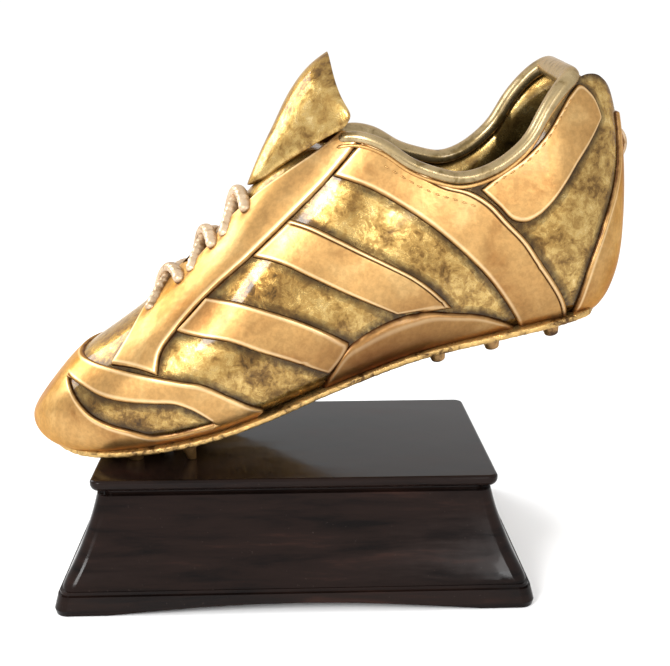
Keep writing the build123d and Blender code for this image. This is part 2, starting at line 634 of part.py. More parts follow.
# ---------------------------------------------------------------- fixing
RECESS_ROOF = FOOT_HEIGHT + RECESS_DEPTH
HEAD_TOP = RECESS_ROOF - WASHER_THICKNESS
with BuildPart() as fixing_bolt:
    with BuildSketch(Plane.XY.offset(HEAD_TOP - BOLT_HEAD_HEIGHT)):
        with Locations((BOLT_X, 0)):
            RegularPolygon(BOLT_HEAD / 2, 6, major_radius=False)
    extrude(amount=BOLT_HEAD_HEIGHT)
    with BuildSketch(Plane.XY.offset(HEAD_TOP)):
        with Locations((BOLT_X, 0)):
            Circle(BOLT_DIAMETER / 2)
    extrude(amount=INSERT_TOP - BOLT_END_GAP - HEAD_TOP)
fixing_bolt.part.label = "fixing_bolt"
export_step(fixing_bolt.part, "parts/fixing_bolt.step")

with BuildPart() as bolt_washer:
    with BuildSketch(Plane.XY.offset(HEAD_TOP)):
        with Locations((BOLT_X, 0)):
            Circle(WASHER_DIAMETER / 2)
            Circle(BOLT_DIAMETER / 2 + BOLT_CLEARANCE, mode=Mode.SUBTRACT)
    extrude(amount=WASHER_THICKNESS)
bolt_washer.part.label = "bolt_washer"
export_step(bolt_washer.part, "parts/bolt_washer.step")

with BuildPart() as boot_insert:
    with BuildSketch(Plane.XY.offset(INSERT_BOTTOM)):
        with Locations((BOLT_X, 0)):
            Circle(INSERT_DIAMETER / 2)
            Circle(BOLT_DIAMETER / 2, mode=Mode.SUBTRACT)
    extrude(amount=INSERT_LENGTH)
boot_insert.part.label = "boot_insert"
export_step(boot_insert.part, "parts/boot_insert.step")
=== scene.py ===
"""Looks of the football boot trophy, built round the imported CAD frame.

Shapes are worked out in the boot's drawing, in millimetres: x runs from toe to heel, y is positive
on the medial side, z is the height, and place() puts them in the frame, in metres.
"""
import math

import bmesh
import bpy
import numpy as np
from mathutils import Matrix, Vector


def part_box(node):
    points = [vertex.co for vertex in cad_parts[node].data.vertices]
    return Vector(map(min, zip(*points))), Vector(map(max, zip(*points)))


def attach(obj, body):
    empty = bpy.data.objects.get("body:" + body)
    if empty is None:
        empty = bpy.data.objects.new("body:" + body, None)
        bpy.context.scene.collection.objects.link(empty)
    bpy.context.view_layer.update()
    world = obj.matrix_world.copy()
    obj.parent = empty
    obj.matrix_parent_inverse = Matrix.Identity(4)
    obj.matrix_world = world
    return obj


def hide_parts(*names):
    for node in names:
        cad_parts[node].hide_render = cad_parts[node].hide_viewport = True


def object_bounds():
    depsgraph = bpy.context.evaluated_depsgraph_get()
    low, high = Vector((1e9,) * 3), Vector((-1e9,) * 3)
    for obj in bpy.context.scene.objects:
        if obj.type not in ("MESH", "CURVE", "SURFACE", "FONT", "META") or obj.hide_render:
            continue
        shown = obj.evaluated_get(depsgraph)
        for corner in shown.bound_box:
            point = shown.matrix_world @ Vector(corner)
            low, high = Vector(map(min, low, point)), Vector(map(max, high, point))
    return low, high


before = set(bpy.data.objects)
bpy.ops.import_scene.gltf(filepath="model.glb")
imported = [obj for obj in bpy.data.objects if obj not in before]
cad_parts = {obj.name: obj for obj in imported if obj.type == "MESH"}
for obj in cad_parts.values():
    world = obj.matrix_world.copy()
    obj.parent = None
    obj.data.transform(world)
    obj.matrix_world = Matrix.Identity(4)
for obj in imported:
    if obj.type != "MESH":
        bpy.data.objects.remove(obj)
cad_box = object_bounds()

# ---------------------------------------------------------------- the frame's places
MM = 0.001
TOE, HEEL = -103.0, 126.2  # ends of the drawn boot
DRAWN_SEAT = 46.7  # drawn height of the plinth's top
DRAWN_BREADTH = 86.0
body_low, body_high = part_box("boot_body")
cap_low, cap_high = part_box("plinth_cap")
NOSE_TRIM = 0.0004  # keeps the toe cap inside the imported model's box
BOOT_MIDDLE = (body_low[0] + NOSE_TRIM + body_high[0]) / 2
STRETCH = (body_high[0] - body_low[0] - NOSE_TRIM) / (HEEL - TOE)
SPREAD = (body_high[1] - body_low[1]) / DRAWN_BREADTH
SEAT = cap_high[2]


def place(points):
    """Drawing to frame: x is stretched about the boot's middle, y spread, z measured from the cap's top."""
    x, y, z = np.moveaxis(np.asarray(points, float), -1, 0)
    return np.stack([BOOT_MIDDLE + (x - (TOE + HEEL) / 2) * STRETCH, y * SPREAD,
                     SEAT + (z - DRAWN_SEAT) * MM], -1)


# ---------------------------------------------------------------- camera
camera = bpy.data.objects.new("camera", bpy.data.cameras.new("camera"))
bpy.context.scene.collection.objects.link(camera)
camera.data.lens = 57.6
camera.location = ((cap_low[0] + cap_high[0]) / 2, -0.411, SEAT + 0.1487)
camera.rotation_euler = (math.radians(90 - 14.42), 0, math.radians(-2.28))
bpy.context.scene.camera = camera

# ---------------------------------------------------------------- the boot's drawing
WALL = 4.0
PANEL = 1.4  # how far a panel stands proud of the body
TUCK = 0.5  # how deep a panel's edge sits in the body
ROLL = 5.2  # height of the padded rim
SOLE_TOP = 3.0  # sole's upper edge above the underside of the form
SOLE_DROP = 0.6
UNDER_SOLE_RIM = SOLE_TOP - 1.2  # where the panels end behind the sole's edge
INSOLE_TOP = 7.4
HOLLOW_START = 12.0
LATERAL, MEDIAL = -1, 1

HALF_BREADTH = [(-103, 34), (-75, 38), (-45, 42.5), (-25, 43), (10, 37), (45, 31), (80, 30), (129, 31)]
KEEL = [(-103, 49), (-85, 48.8), (-60, 52), (-35, 57.5), (-10, 66), (15, 76), (45, 86), (75, 92.5),
        (105, 99), (129, 104)]
CROWN = [(-103, 70), (-90, 80.5), (-75, 90.5), (-60, 101.5), (-45, 114.5), (-30, 131), (-15, 149),
         (5, 172), (30, 200), (60, 225), (90, 228), (108, 205), (129, 190)]
BILGE = [(-103, 60), (-70, 66), (-35, 75), (0, 88), (50, 108), (90, 122), (129, 135)]
SWAY = [(-103, 4), (-60, 2), (-20, 0), (30, -2.5), (80, 0), (129, 1.5)]
ROUNDNESS = [(-103, 2.2), (-40, 2.0), (0, 1.7), (40, 1.7), (129, 2.0)]
LOWER_ROUNDNESS = 3.2
TOE_HEIGHT, HEEL_HEIGHT = 58.0, 135.0
TOE_RADII = (42.0, 26.0)  # seen from above, from the side
HEEL_RADII = (36.0, 13.5)
PLAN_ROUNDNESS, SIDE_ROUNDNESS = 2.15, 2.0

RIM = [(16, 166.5), (21, 167.5), (31, 165.4), (42, 158.4), (50, 155.4), (60, 153.4), (69, 155.4), (78, 160.4),
       (86, 168.4), (91, 177.4), (97, 185.4), (102, 190), (108, 192.3), (113.5, 191), (118, 185.5), (121.5, 174)]
THROAT = [(-16, 150), (-8, 155), (4, 162)]
MEDIAL_RISE, MEDIAL_LEAD = 3.5, 4.5  # the medial rim is higher, and rises sooner behind its lowest place
WAIST_RIM = 60.0
EYESTAY_OUTER = [(25, 167), (14, 154), (-1, 139), (-15, 126), (-31, 112), (-43, 99), (-48, 92), (-49, 86)]
EYESTAY_INNER = [(18, 170), (10, 163.5), (-3, 154), (-11, 148), (-22, 138), (-37, 121), (-48, 113),
                 (-56, 104), (-63, 93), (-67, 87)]
TOE_UPPER = [(-112, 83), (-90, 84.5), (-73, 85), (-68, 85), (-50, 84), (-41, 83), (-33, 82), (-24, 78),
             (-7, 69)]
CRESCENT_UPPER = [(-86, 78), (-79, 77), (-71, 75), (-61, 74), (-51, 74), (-43, 74), (-37, 72), (-29, 67)]
CRESCENT_LOWER = [(-86, 78), (-81, 73), (-76, 69), (-69, 66), (-60, 64), (-53, 62), (-45, 62.5), (-38, 64.5),
                  (-29, 67)]
FRONT_BAND_UPPER = [(-30, 111.4), (-21, 111), (-9, 108), (3, 104), (12, 100), (18.2, 96.8)]
FRONT_BAND_LOWER = [(-41.6, 99), (-34, 98), (-24, 97), (-12, 93), (-3, 90), (5, 87), (10.6, 85)]
REAR_BAND_UPPER = [(0.4, 138.8), (7, 137), (16, 133), (26, 128), (36, 123), (45, 118), (51, 113.5),
                   (56.5, 108.2)]
REAR_BAND_LOWER = [(-13.6, 125.4), (-6, 124), (6, 119), (19, 113), (28, 109), (35, 106)]
QUARTER_UPPER = [(27, 166.5), (38, 161), (48, 155), (56, 151), (64, 149), (71, 145), (78, 138), (85, 131),
                 (90, 124), (95, 117), (99, 111), (104, 100)]
QUARTER_LOWER = [(15.6, 153.6), (27, 150), (38, 144), (50, 136), (62, 126), (70, 118), (77, 109), (86, 95)]
ANKLE_UPPER = [(67, 149.4), (74, 155), (83, 161), (91, 169.4), (96, 177.4), (100, 183.4), (103, 186),
               (107, 183.6), (112, 174)]
ANKLE_LOWER = [(67, 149.4), (74, 143.2), (80, 138), (84, 137.6), (88, 139.4), (93, 144), (98, 151),
               (102, 157.6), (107, 165), (112, 174)]
SADDLE_UPPER = [(9, 75), (13, 84), (20, 95), (26, 99), (37, 104), (47, 106), (59, 105), (68, 104), (77, 101),
                (88, 94.5)]
SADDLE_FLOOR = [(9, 75), (20, 94), (77, 101), (88, 94.5)]
HEEL_STRIP_EDGE = [(99, 104.4), (114, 107), (124, 110), (131, 112.6), (139, 115.4), (146, 118), (152, 119.6),
                   (166, 121), (176, 120)]  # (height, x)

LACE_ROWS = {"lace_lower": (-54.5, -42.5), "lace_middle": (-38.5, -30.0), "lace_upper": (-26.0, -17.5)}
LACE_LANDING = 17.0
LACE_RADIUS = 1.9
LOOP_X, LOOP_Z = 121.6, 163.3  # middle of the pull loop
LOOP_REACH, LOOP_HALF = 5.8, 6.6  # how far it reaches backwards, half its height
REAR_STUDS, REAR_STUD_Y = (54.0, 75.0, 98.0), 15.0
FRONT_STUDS, FRONT_STUD_Y = (-62.0, -42.0), 24.0
STUD_RADIUS, STUD_LENGTH = 4.0, 5.5
FRONT_STUD_LENGTH = 12.0  # before the cap's top cuts them off


# ---------------------------------------------------------------- the form
def fair(x, knots):
    """Smooth cubic curve through the knots, with weighted-difference tangents."""
    knot_x, knot_y = np.array(knots, float).T
    step = np.diff(knot_x)
    slope = np.diff(knot_y) / step
    tangent = np.empty_like(knot_y)
    tangent[1:-1] = (slope[:-1] * step[1:] + slope[1:] * step[:-1]) / (step[:-1] + step[1:])
    tangent[0] = 1.5 * slope[0] - 0.5 * tangent[1]
    tangent[-1] = 1.5 * slope[-1] - 0.5 * tangent[-2]
    x = np.clip(x, knot_x[0], knot_x[-1])
    i = np.clip(np.searchsorted(knot_x, x) - 1, 0, len(step) - 1)
    t = (x - knot_x[i]) / step[i]
    return ((1 + 2 * t) * (1 - t) ** 2 * knot_y[i] + t * (1 - t) ** 2 * step[i] * tangent[i]
            + t * t * (3 - 2 * t) * knot_y[i + 1] + t * t * (t - 1) * step[i] * tangent[i + 1])


def closing(distance, radius, roundness=2.0):
    """Share of the full size at a distance from an end that rounds off over the radius."""
    q = np.clip(distance / radius, 0, 1)
    return (1 - (1 - q) ** roundness) ** (1 / roundness)


def form_lines(x, grow=0.0):
    """Half breadth, underside, widest height and crown at x, of the form grown by grow."""
    from_toe, from_heel = x - TOE + grow, HEEL + grow - x
    plan = closing(from_toe, TOE_RADII[0], PLAN_ROUNDNESS) * closing(from_heel, HEEL_RADII[0], PLAN_ROUNDNESS)
    toe = closing(from_toe, TOE_RADII[1], SIDE_ROUNDNESS)
    heel = closing(from_heel, HEEL_RADII[1], SIDE_ROUNDNESS)
    heights = []
    for line, offset in ((KEEL, -max(grow, 0.0)), (BILGE, 0.0), (CROWN, grow)):
        z = TOE_HEIGHT + (fair(x, line) + offset - TOE_HEIGHT) * toe
        heights.append(HEEL_HEIGHT + (z - HEEL_HEIGHT) * heel)
    return (fair(x, HALF_BREADTH) + grow) * plan, *heights


def skin(x, turn, side, grow=0.0):
    """Point of the form: at x, turn runs from -90 degrees at the keel to 90 at the crown of one side.

    y is the half breadth times cos(turn) and z the reach times sin(turn), each to the power of the
    section's superellipse, 2 over its roundness.
    """
    half, low, wide, high = form_lines(x, grow)
    across, up = np.abs(np.cos(turn)), np.sin(turn)
    power = 2 / np.where(up >= 0, fair(x, ROUNDNESS), LOWER_ROUNDNESS)
    reach = np.where(up >= 0, high - wide, wide - low)
    y = fair(x, SWAY) + side * half * across**power
    return np.stack(np.broadcast_arrays(x, y, wide + reach * np.sign(up) * np.abs(up) ** power), -1)


def turn_at(x, z, grow=0.0):
    """Turn at which the section at x is z high: the arcsine of the share of the reach, to roundness / 2."""
    half, low, wide, high = form_lines(x, grow)
    over = np.clip((z - wide) / np.maximum(high - wide, 1e-6), 0, 1) ** (fair(x, ROUNDNESS) / 2)
    under = np.clip((wide - z) / np.maximum(wide - low, 1e-6), 0, 1) ** (LOWER_ROUNDNESS / 2)
    return np.arcsin(over) - np.arcsin(under)


def fullness(points):
    """1 on the form, less inside: the superellipse norm of the place within its section."""
    x, y, z = np.moveaxis(points, -1, 0)
    half, low, wide, high = form_lines(x)
    up = z >= wide
    power = np.where(up, fair(x, ROUNDNESS), LOWER_ROUNDNESS)
    across = np.abs(y - fair(x, SWAY)) / np.maximum(half, 1e-3)
    rise = np.abs(z - wide) / np.maximum(np.where(up, high - wide, wide - low), 1e-3)
    return (across**power + rise**power) ** (1 / power)


def outward(points):
    """Unit normal of the form: the slope of its fullness, by central differences."""
    step = 0.05
    slope = np.stack([fullness(points + step * axis) - fullness(points - step * axis) for axis in np.eye(3)], -1)
    return slope / np.maximum(np.linalg.norm(slope, axis=-1, keepdims=True), 1e-9)


def grown(points, thickness):
    """The points moved out from the form by the thickness at each."""
    return points + outward(points) * np.asarray(thickness)[..., None]


def cast_out(axis_x, axis_y, angle, z):
    """Where a level ray from an upright axis leaves the form: the reach is halved 40 times."""
    near, far = np.zeros_like(z), np.full_like(z, 150.0)
    for _ in range(40):
        reach = (near + far) / 2
        inside = fullness(np.stack([axis_x + reach * np.cos(angle), axis_y + reach * np.sin(angle), z], -1)) < 1
        near, far = np.where(inside, reach, near), np.where(inside, far, reach)
    return np.stack([axis_x + near * np.cos(angle), axis_y + near * np.sin(angle), z], -1)


def rim_knots(side):
    """The rim's knots on one side. The medial ones are raised, and led towards the toe, by half sines."""
    x, z = np.array(RIM, float).T
    if side == MEDIAL:
        z = z + MEDIAL_RISE * np.sin(np.pi * (x - x[0]) / (x[-1] - x[0]))
        x = x - MEDIAL_LEAD * np.sin(np.pi * np.maximum(x - WAIST_RIM, 0) / (x[-1] - WAIST_RIM))
    return list(zip(x, z))


def rim_height(x, side, offset=0.0):
    """Height of the padded rim's centre line on one side."""
    return fair(x, rim_knots(side)) + offset


# ---------------------------------------------------------------- meshes
def piece(name, grids, replaced=(), closed=False, marks=None, crease=55):
    """One mesh from grids of drawn points: each cell of a grid is a face, doubles are merged."""
    vertices, faces, values, start = [], [], {key: [] for key in (marks or [{}])[0]}, 0
    for n, grid in enumerate(grids):
        rows, columns = grid.shape[:2]
        index = start + np.arange(rows * columns).reshape(rows, columns)
        if closed:
            index = np.concatenate([index, index[:, :1]], 1)
        faces.append(np.stack([index[:-1, :-1], index[1:, :-1], index[1:, 1:], index[:-1, 1:]], -1).reshape(-1, 4))
        vertices.append(grid.reshape(-1, 3))
        for key in values:
            values[key].append(np.broadcast_to(marks[n][key], grid.shape[:2]).ravel())
        start += rows * columns
    mesh = bpy.data.meshes.new(name)
    mesh.from_pydata(place(np.concatenate(vertices)).tolist(), [], np.concatenate(faces).tolist())
    for key, parts in values.items():
        layer = mesh.attributes.new(key, "FLOAT", "POINT")
        layer.data.foreach_set("value", np.concatenate(parts).astype(np.float32))
    work = bmesh.new()
    work.from_mesh(mesh)
    bmesh.ops.remove_doubles(work, verts=work.verts, dist=2e-5)
    bmesh.ops.dissolve_degenerate(work, edges=work.edges, dist=5e-6)
    bmesh.ops.recalc_face_normals(work, faces=work.faces)
    work.to_mesh(mesh)
    work.free()
    mesh.shade_smooth()
    mesh.set_sharp_from_angle(angle=math.radians(crease))
    thing = bpy.data.objects.new(name, mesh)
    bpy.context.scene.collection.objects.link(thing)
    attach(thing, "root")
    if replaced:
        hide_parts(*replaced)
    return thing


def tube(path, width, height, upright, around=20, roundness=2.0, twist=0.0):
    """Grid of a closed tube along a path, rounded off at both ends.

    The section is a superellipse: width along the side direction, height along the upright one.
    """
    path = np.asarray(path, float)
    along = np.gradient(path, axis=0)
    along /= np.linalg.norm(along, axis=1, keepdims=True)
    upright = np.broadcast_to(upright, path.shape)
    aside = np.cross(along, upright)
    aside /= np.linalg.norm(aside, axis=1, keepdims=True)
    upright = np.cross(aside, along)
    travel = np.concatenate([[0], np.cumsum(np.linalg.norm(np.diff(path, axis=0), axis=1))])
    size = np.broadcast_to(height, travel.shape)
    ends = closing(np.minimum(travel, travel[-1] - travel), size * 0.9)
    turn = np.linspace(0, 2 * np.pi, around, endpoint=False)
    across, up = np.cos(turn), np.sin(turn)
    across = np.sign(across) * np.abs(across) ** (2 / roundness)
    up = np.sign(up) * np.abs(up) ** (2 / roundness)
    swell = 1 + twist * np.cos(2 * turn[None] - 2.2 * travel[:, None])
    wide = (np.broadcast_to(width, travel.shape) * ends)[:, None, None]
    tall = (size * ends)[:, None, None]
    return path[:, None] + swell[..., None] * (across[None, :, None] * wide * aside[:, None]
                                               + up[None, :, None] * tall * upright[:, None])


def evenly(path, count, smooth=0):
    """The path with its points set at even distances, and smoothed by averaging neighbours."""
    travel = np.concatenate([[0], np.cumsum(np.linalg.norm(np.diff(path, axis=0), axis=1))])
    at = np.linspace(0, travel[-1], count)
    path = np.stack([np.interp(at, travel, path[:, k]) for k in range(3)], -1)
    for _ in range(smooth):
        path[1:-1] = (path[:-2] + 2 * path[1:-1] + path[2:]) / 4
    return path


# ---------------------------------------------------------------- panels
EDGE_STEPS = np.array([0, 0.06, 0.2, 0.42, 0.7, 1.05, 1.5, 1.9, 2.1, 2.3, 2.5, 2.75, 3.1, 3.6])  # mm inside
EDGE_ROUND = 1.25
ENGRAVED_INSET = 2.3  # from a panel's upper edge to its engraved line
ENGRAVED_WIDTH, ENGRAVED_DEPTH = 0.24, 0.45


def side_curve(knots, before=0.0, after=0.0):
    """Side view curve through the knots, by their distance along it, as a function of 0 to 1.

    Its first and last knots are drawn out in line, so that a panel tucks under its neighbour.
    """
    points = np.array(knots, float)
    for end, following, reach in ((0, 1, before), (-1, -2, after)):
        way = points[end] - points[following]
        points[end] += way / np.hypot(*way) * reach
    travel = np.concatenate([[0], np.cumsum(np.hypot(*np.diff(points, axis=0).T))])
    travel /= travel[-1]
    return lambda s: (fair(s, list(zip(travel, points[:, 0]))), fair(s, list(zip(travel, points[:, 1]))))


def between_edges(length, middle):
    """Shares of a length, close together near both ends at the edge steps, and even between them."""
    length = np.asarray(length, float)[..., None]
    steps = EDGE_STEPS * np.minimum(1, length / 2 / (EDGE_STEPS[-1] + 0.4))
    start, end = steps[..., -1:], length - steps[..., -1:]
    share = np.linspace(0, 1, middle + 2)[1:-1]
    places = np.concatenate([steps, start + (end - start) * share, length - steps[..., ::-1]], -1)
    return places / np.maximum(length, 1e-6)


def panel_height(inset, proud=PANEL):
    """Height of a panel above the form: it rises from its tucked edge in a quarter round."""
    return -TUCK + (proud + TUCK) * closing(np.maximum(inset, 0), EDGE_ROUND)


def waist_shade(points):
    """How deep the painted shade under the waist is: a brown darkening, most beside the sole, fading upwards and to
    both ends.
    """
    x, z = points[..., 0], points[..., 2]
    return np.exp(-((x - 30) / 50) ** 2) * (1 - np.clip((z - form_lines(x)[1] - 6) / 26, 0, 1))


def ribbon(upper, lower, side, middle=16, length_steps=70, engraved=False, spots=()):
    """Closed skin of a panel between two side view edges, and its marks.

    Turns of the section are mixed between the edges. The height follows the distance to the nearest
    edge, and an engraved line runs inside the upper edge. Spots (x, y) are small round brown places.
    """
    probe = np.linspace(0, 1, 60)
    (top_x, top_z), (low_x, low_z) = upper(probe), lower(probe)
    top, low = skin(top_x, turn_at(top_x, top_z), side), skin(low_x, turn_at(low_x, low_z), side)
    centre = (top + low) / 2
    length = np.linalg.norm(np.diff(centre, axis=0), axis=1).sum()
    s = between_edges(length, length_steps)
    (top_x, top_z), (low_x, low_z) = upper(s), lower(s)
    top_turn, low_turn = turn_at(top_x, top_z), turn_at(low_x, low_z)
    width = np.linalg.norm(skin(top_x, top_turn, side) - skin(low_x, low_turn, side), axis=-1)
    v = between_edges(width, middle)
    x = top_x[:, None] + (low_x - top_x)[:, None] * v
    turn = top_turn[:, None] + (low_turn - top_turn)[:, None] * v
    base = skin(x, turn, side)
    from_top = v * width[:, None]
    from_edge = np.minimum(from_top, width[:, None] - from_top)
    from_end = (np.minimum(s, 1 - s) * length)[:, None]
    inset = np.minimum(from_edge, from_end)
    height = -TUCK + (PANEL + TUCK) * closing(from_edge, EDGE_ROUND) * closing(from_end, EDGE_ROUND)
    groove = 0 * from_top
    if engraved:
        groove = np.exp(-((from_top - ENGRAVED_INSET) / ENGRAVED_WIDTH) ** 2) * np.clip(from_end / 3, 0, 1)
    front = grown(base, height - ENGRAVED_DEPTH * groove)
    back = grown(base, -TUCK)
    for x_spot, y_spot in spots:
        groove = np.maximum(groove, np.exp(-((x - x_spot) ** 2 + (base[..., 1] - side * y_spot) ** 2) / 3.5))
    marks = [{"inset": inset, "groove": groove, "waist_shade": waist_shade(base)}, {"inset": 0.0, "groove": 0.0, "waist_shade": 1.0}]
    return [front, back], marks


def sole_line(offset):
    """Side view height of a line that follows the underside of the form."""
    return lambda x: form_lines(x)[1] + offset


def saddle_lower(s):
    """The saddle's lower edge: the sole's top, or the upper edge where that is lower."""
    x = SADDLE_UPPER[0][0] + (SADDLE_UPPER[-1][0] - SADDLE_UPPER[0][0]) * s
    return x, np.minimum(sole_line(UNDER_SOLE_RIM)(x), fair(x, SADDLE_FLOOR))


PANELS = {
    "eyestay": (side_curve(EYESTAY_INNER, 0, 2.0), side_curve(EYESTAY_OUTER, 0, 2.0), False),
    "quarter_band": (side_curve(QUARTER_UPPER, 1.6, 2.0), side_curve(QUARTER_LOWER, 1.6, 2.0), True),
    "rear_side_band": (side_curve(REAR_BAND_UPPER, 1.6, 2.0), side_curve(REAR_BAND_LOWER, 1.6, 2.0), True),
    "front_side_band": (side_curve(FRONT_BAND_UPPER, 1.6, 2.0), side_curve(FRONT_BAND_LOWER, 1.6, 2.0), False),
    "ankle_panel": (side_curve(ANKLE_UPPER), side_curve(ANKLE_LOWER), False),
    "waist_saddle": (side_curve(SADDLE_UPPER), saddle_lower, False),
}


def toe_cap_grid():
    """The toe cap: level rays from an upright axis, between the sole and the cap's upper edge.

    Each ray's height runs through four lines: sole, lower and upper edge of the crescent window,
    upper edge. Between the window's edges the cap sinks below the body.
    """
    axis_x, axis_y = -55.0, 2.0
    tail = math.radians(42)
    angle = np.linspace(tail, 2 * np.pi - tail, 260)[:, None]
    steps = EDGE_STEPS / EDGE_STEPS[-1]
    band = np.concatenate([steps * 0.3, np.linspace(0.3, 0.7, 8)[1:-1], 1 - steps[::-1] * 0.3])
    v = np.concatenate([band, 1 + np.linspace(0, 1, 7)[1:-1], 2 + band])[None]
    z = np.full((len(angle), v.shape[1]), 66.0)
    for _ in range(8):
        points = cast_out(axis_x, axis_y, np.broadcast_to(angle, z.shape), z)
        x = points[..., 0]
        low, high = sole_line(UNDER_SOLE_RIM)(x), fair(x, TOE_UPPER)
        window_low = np.where(x < -86, 78.0, np.where(x > -29, 67.0, fair(x, CRESCENT_LOWER)))
        window_high = np.where(x < -86, 78.0, np.where(x > -29, 67.0, fair(x, CRESCENT_UPPER)))
        middle = low + (high - low) * 0.55
        loose = np.clip((x + 29) / 12, 0, 1)
        window_low, window_high = (line + (middle - line) * loose for line in (window_low, window_high))
        z = np.where(v <= 1, low + (window_low - low) * v,
                     np.where(v <= 2, window_low + (window_high - window_low) * (v - 1),
                              window_high + (high - window_high) * (v - 2)))
    gap = window_high - window_low
    slant = np.abs(outward(points)[..., 2])
    steep = 1 / np.sqrt(np.maximum(1 - slant**2, 0.15))
    from_sole, from_top = (z - low) * steep, (high - z) * steep
    from_window = np.where(z > (window_low + window_high) / 2, z - window_high, window_low - z) * steep
    from_window = np.where(gap > 0.4, from_window, from_window + (1 - np.clip(gap / 0.4, 0, 1)) * 6)
    inset = np.minimum(np.minimum(from_sole, from_top), from_window)
    from_tail = np.minimum(angle - tail, 2 * np.pi - tail - angle) * 60
    inset = np.minimum(inset, from_tail)
    return [grown(points, panel_height(inset)), grown(points, -TUCK)], \
        [{"inset": np.maximum(inset, 0), "groove": 0.0, "waist_shade": 0.0}, {"inset": 0.0, "groove": 0.0, "waist_shade": 0.0}]


def heel_strip_grid():
    """The heel strip: level rays from an upright axis, between its two edges, from the sole up."""
    axis_x, axis_y = 98.0, 1.2
    start, end = 100.5, 176.0
    z = start + (end - start) * between_edges(np.array(end - start), 60)
    edge_x = fair(z, HEEL_STRIP_EDGE)
    v = between_edges(np.full(z.shape, 34.0), 18)
    limit = []
    for side in (LATERAL, MEDIAL):
        edge = skin(edge_x, turn_at(edge_x, z), side)
        limit.append(np.arctan2(edge[:, 1] - axis_y, edge[:, 0] - axis_x))
    angle = limit[0][:, None] + (limit[1] - limit[0])[:, None] * v
    height = np.broadcast_to(z[:, None], angle.shape).copy()
    points = cast_out(axis_x, axis_y, angle, height)
    run = np.cumsum(np.linalg.norm(np.diff(points, axis=1, prepend=points[:, :1]), axis=-1), axis=1)
    inset = np.minimum(np.minimum(run, run[:, -1:] - run), end - height)
    return [grown(points, panel_height(inset)), grown(points, -TUCK)], \
        [{"inset": np.maximum(inset, 0), "groove": 0.0, "waist_shade": 0.0}, {"inset": 0.0, "groove": 0.0, "waist_shade": 0.0}]


# ---------------------------------------------------------------- finishes
def finish(name, **sockets):
    """New node material, with values on the shader's own sockets."""
    material = bpy.data.materials.new(name)
    material.use_nodes = True
    shader = material.node_tree.nodes["Principled BSDF"]
    for key, value in sockets.items():
        shader.inputs[key.replace("_", " ").replace("Ior", "IOR")].default_value = value
    return material, material.node_tree, shader


def node(tree, kind, settings=None, **inputs):
    """New node with its settings, inputs given as values or as sockets to link."""
    made = tree.nodes.new("ShaderNode" + kind)
    for key, value in (settings or {}).items():
        setattr(made, key, value)
    for key, value in inputs.items():
        socket = made.inputs[int(key[1:])] if key[0] == "i" and key[1:].isdigit() else made.inputs[key]
        if isinstance(value, bpy.types.NodeSocket):
            tree.links.new(value, socket)
        else:
            socket.default_value = value
    return made


def mottle(tree, scale, detail=6.0, rough=0.6, warp=0.0, stretch=(1, 1, 1)):
    """Noise on object coordinates, 0 to 1."""
    place_node = node(tree, "TexCoord")
    turned = node(tree, "Mapping", i0=place_node.outputs["Object"], Scale=stretch)
    return node(tree, "TexNoise", Vector=turned.outputs[0], Scale=scale, Detail=detail, Roughness=rough,
                Distortion=warp).outputs["Fac"]


def mark(tree, name):
    """A float stored on the mesh."""
    return node(tree, "Attribute", {"attribute_name": name}).outputs["Fac"]


def ramp(tree, fac, stops, ease="EASE"):
    """Colour of a 0 to 1 value through the stops (position, colour)."""
    made = node(tree, "ValToRGB", i0=fac)
    made.color_ramp.interpolation = ease
    elements = made.color_ramp.elements
    while len(elements) < len(stops):
        elements.new(0.5)
    for element, (position, colour) in zip(elements, stops):
        element.position = position
        element.color = (*colour, 1) if isinstance(colour, tuple) else (colour, colour, colour, 1)
    return made.outputs["Color"]


def blend(tree, fac, first, second, kind="MIX"):
    """Mix of two colours."""
    made = node(tree, "Mix", {"data_type": "RGBA", "blend_type": kind})
    for index, value in ((0, fac), (6, first), (7, second)):
        if isinstance(value, bpy.types.NodeSocket):
            tree.links.new(value, made.inputs[index])
        else:
            made.inputs[index].default_value = value if index == 0 else (*value, 1)
    return made.outputs[2]


def maths(tree, kind, first, second=0.0):
    """Sum, product or the like of two values."""
    return node(tree, "Math", {"operation": kind}, i0=first, i1=second).outputs[0]


def bump(tree, shader, height, depth, strength=1.0):
    """Bump of the given depth in metres."""
    made = node(tree, "Bump", Height=height, Distance=depth, Strength=strength)
    tree.links.new(made.outputs[0], shader.inputs["Normal"])


GROOVE_BROWN = (0.055, 0.022, 0.007)


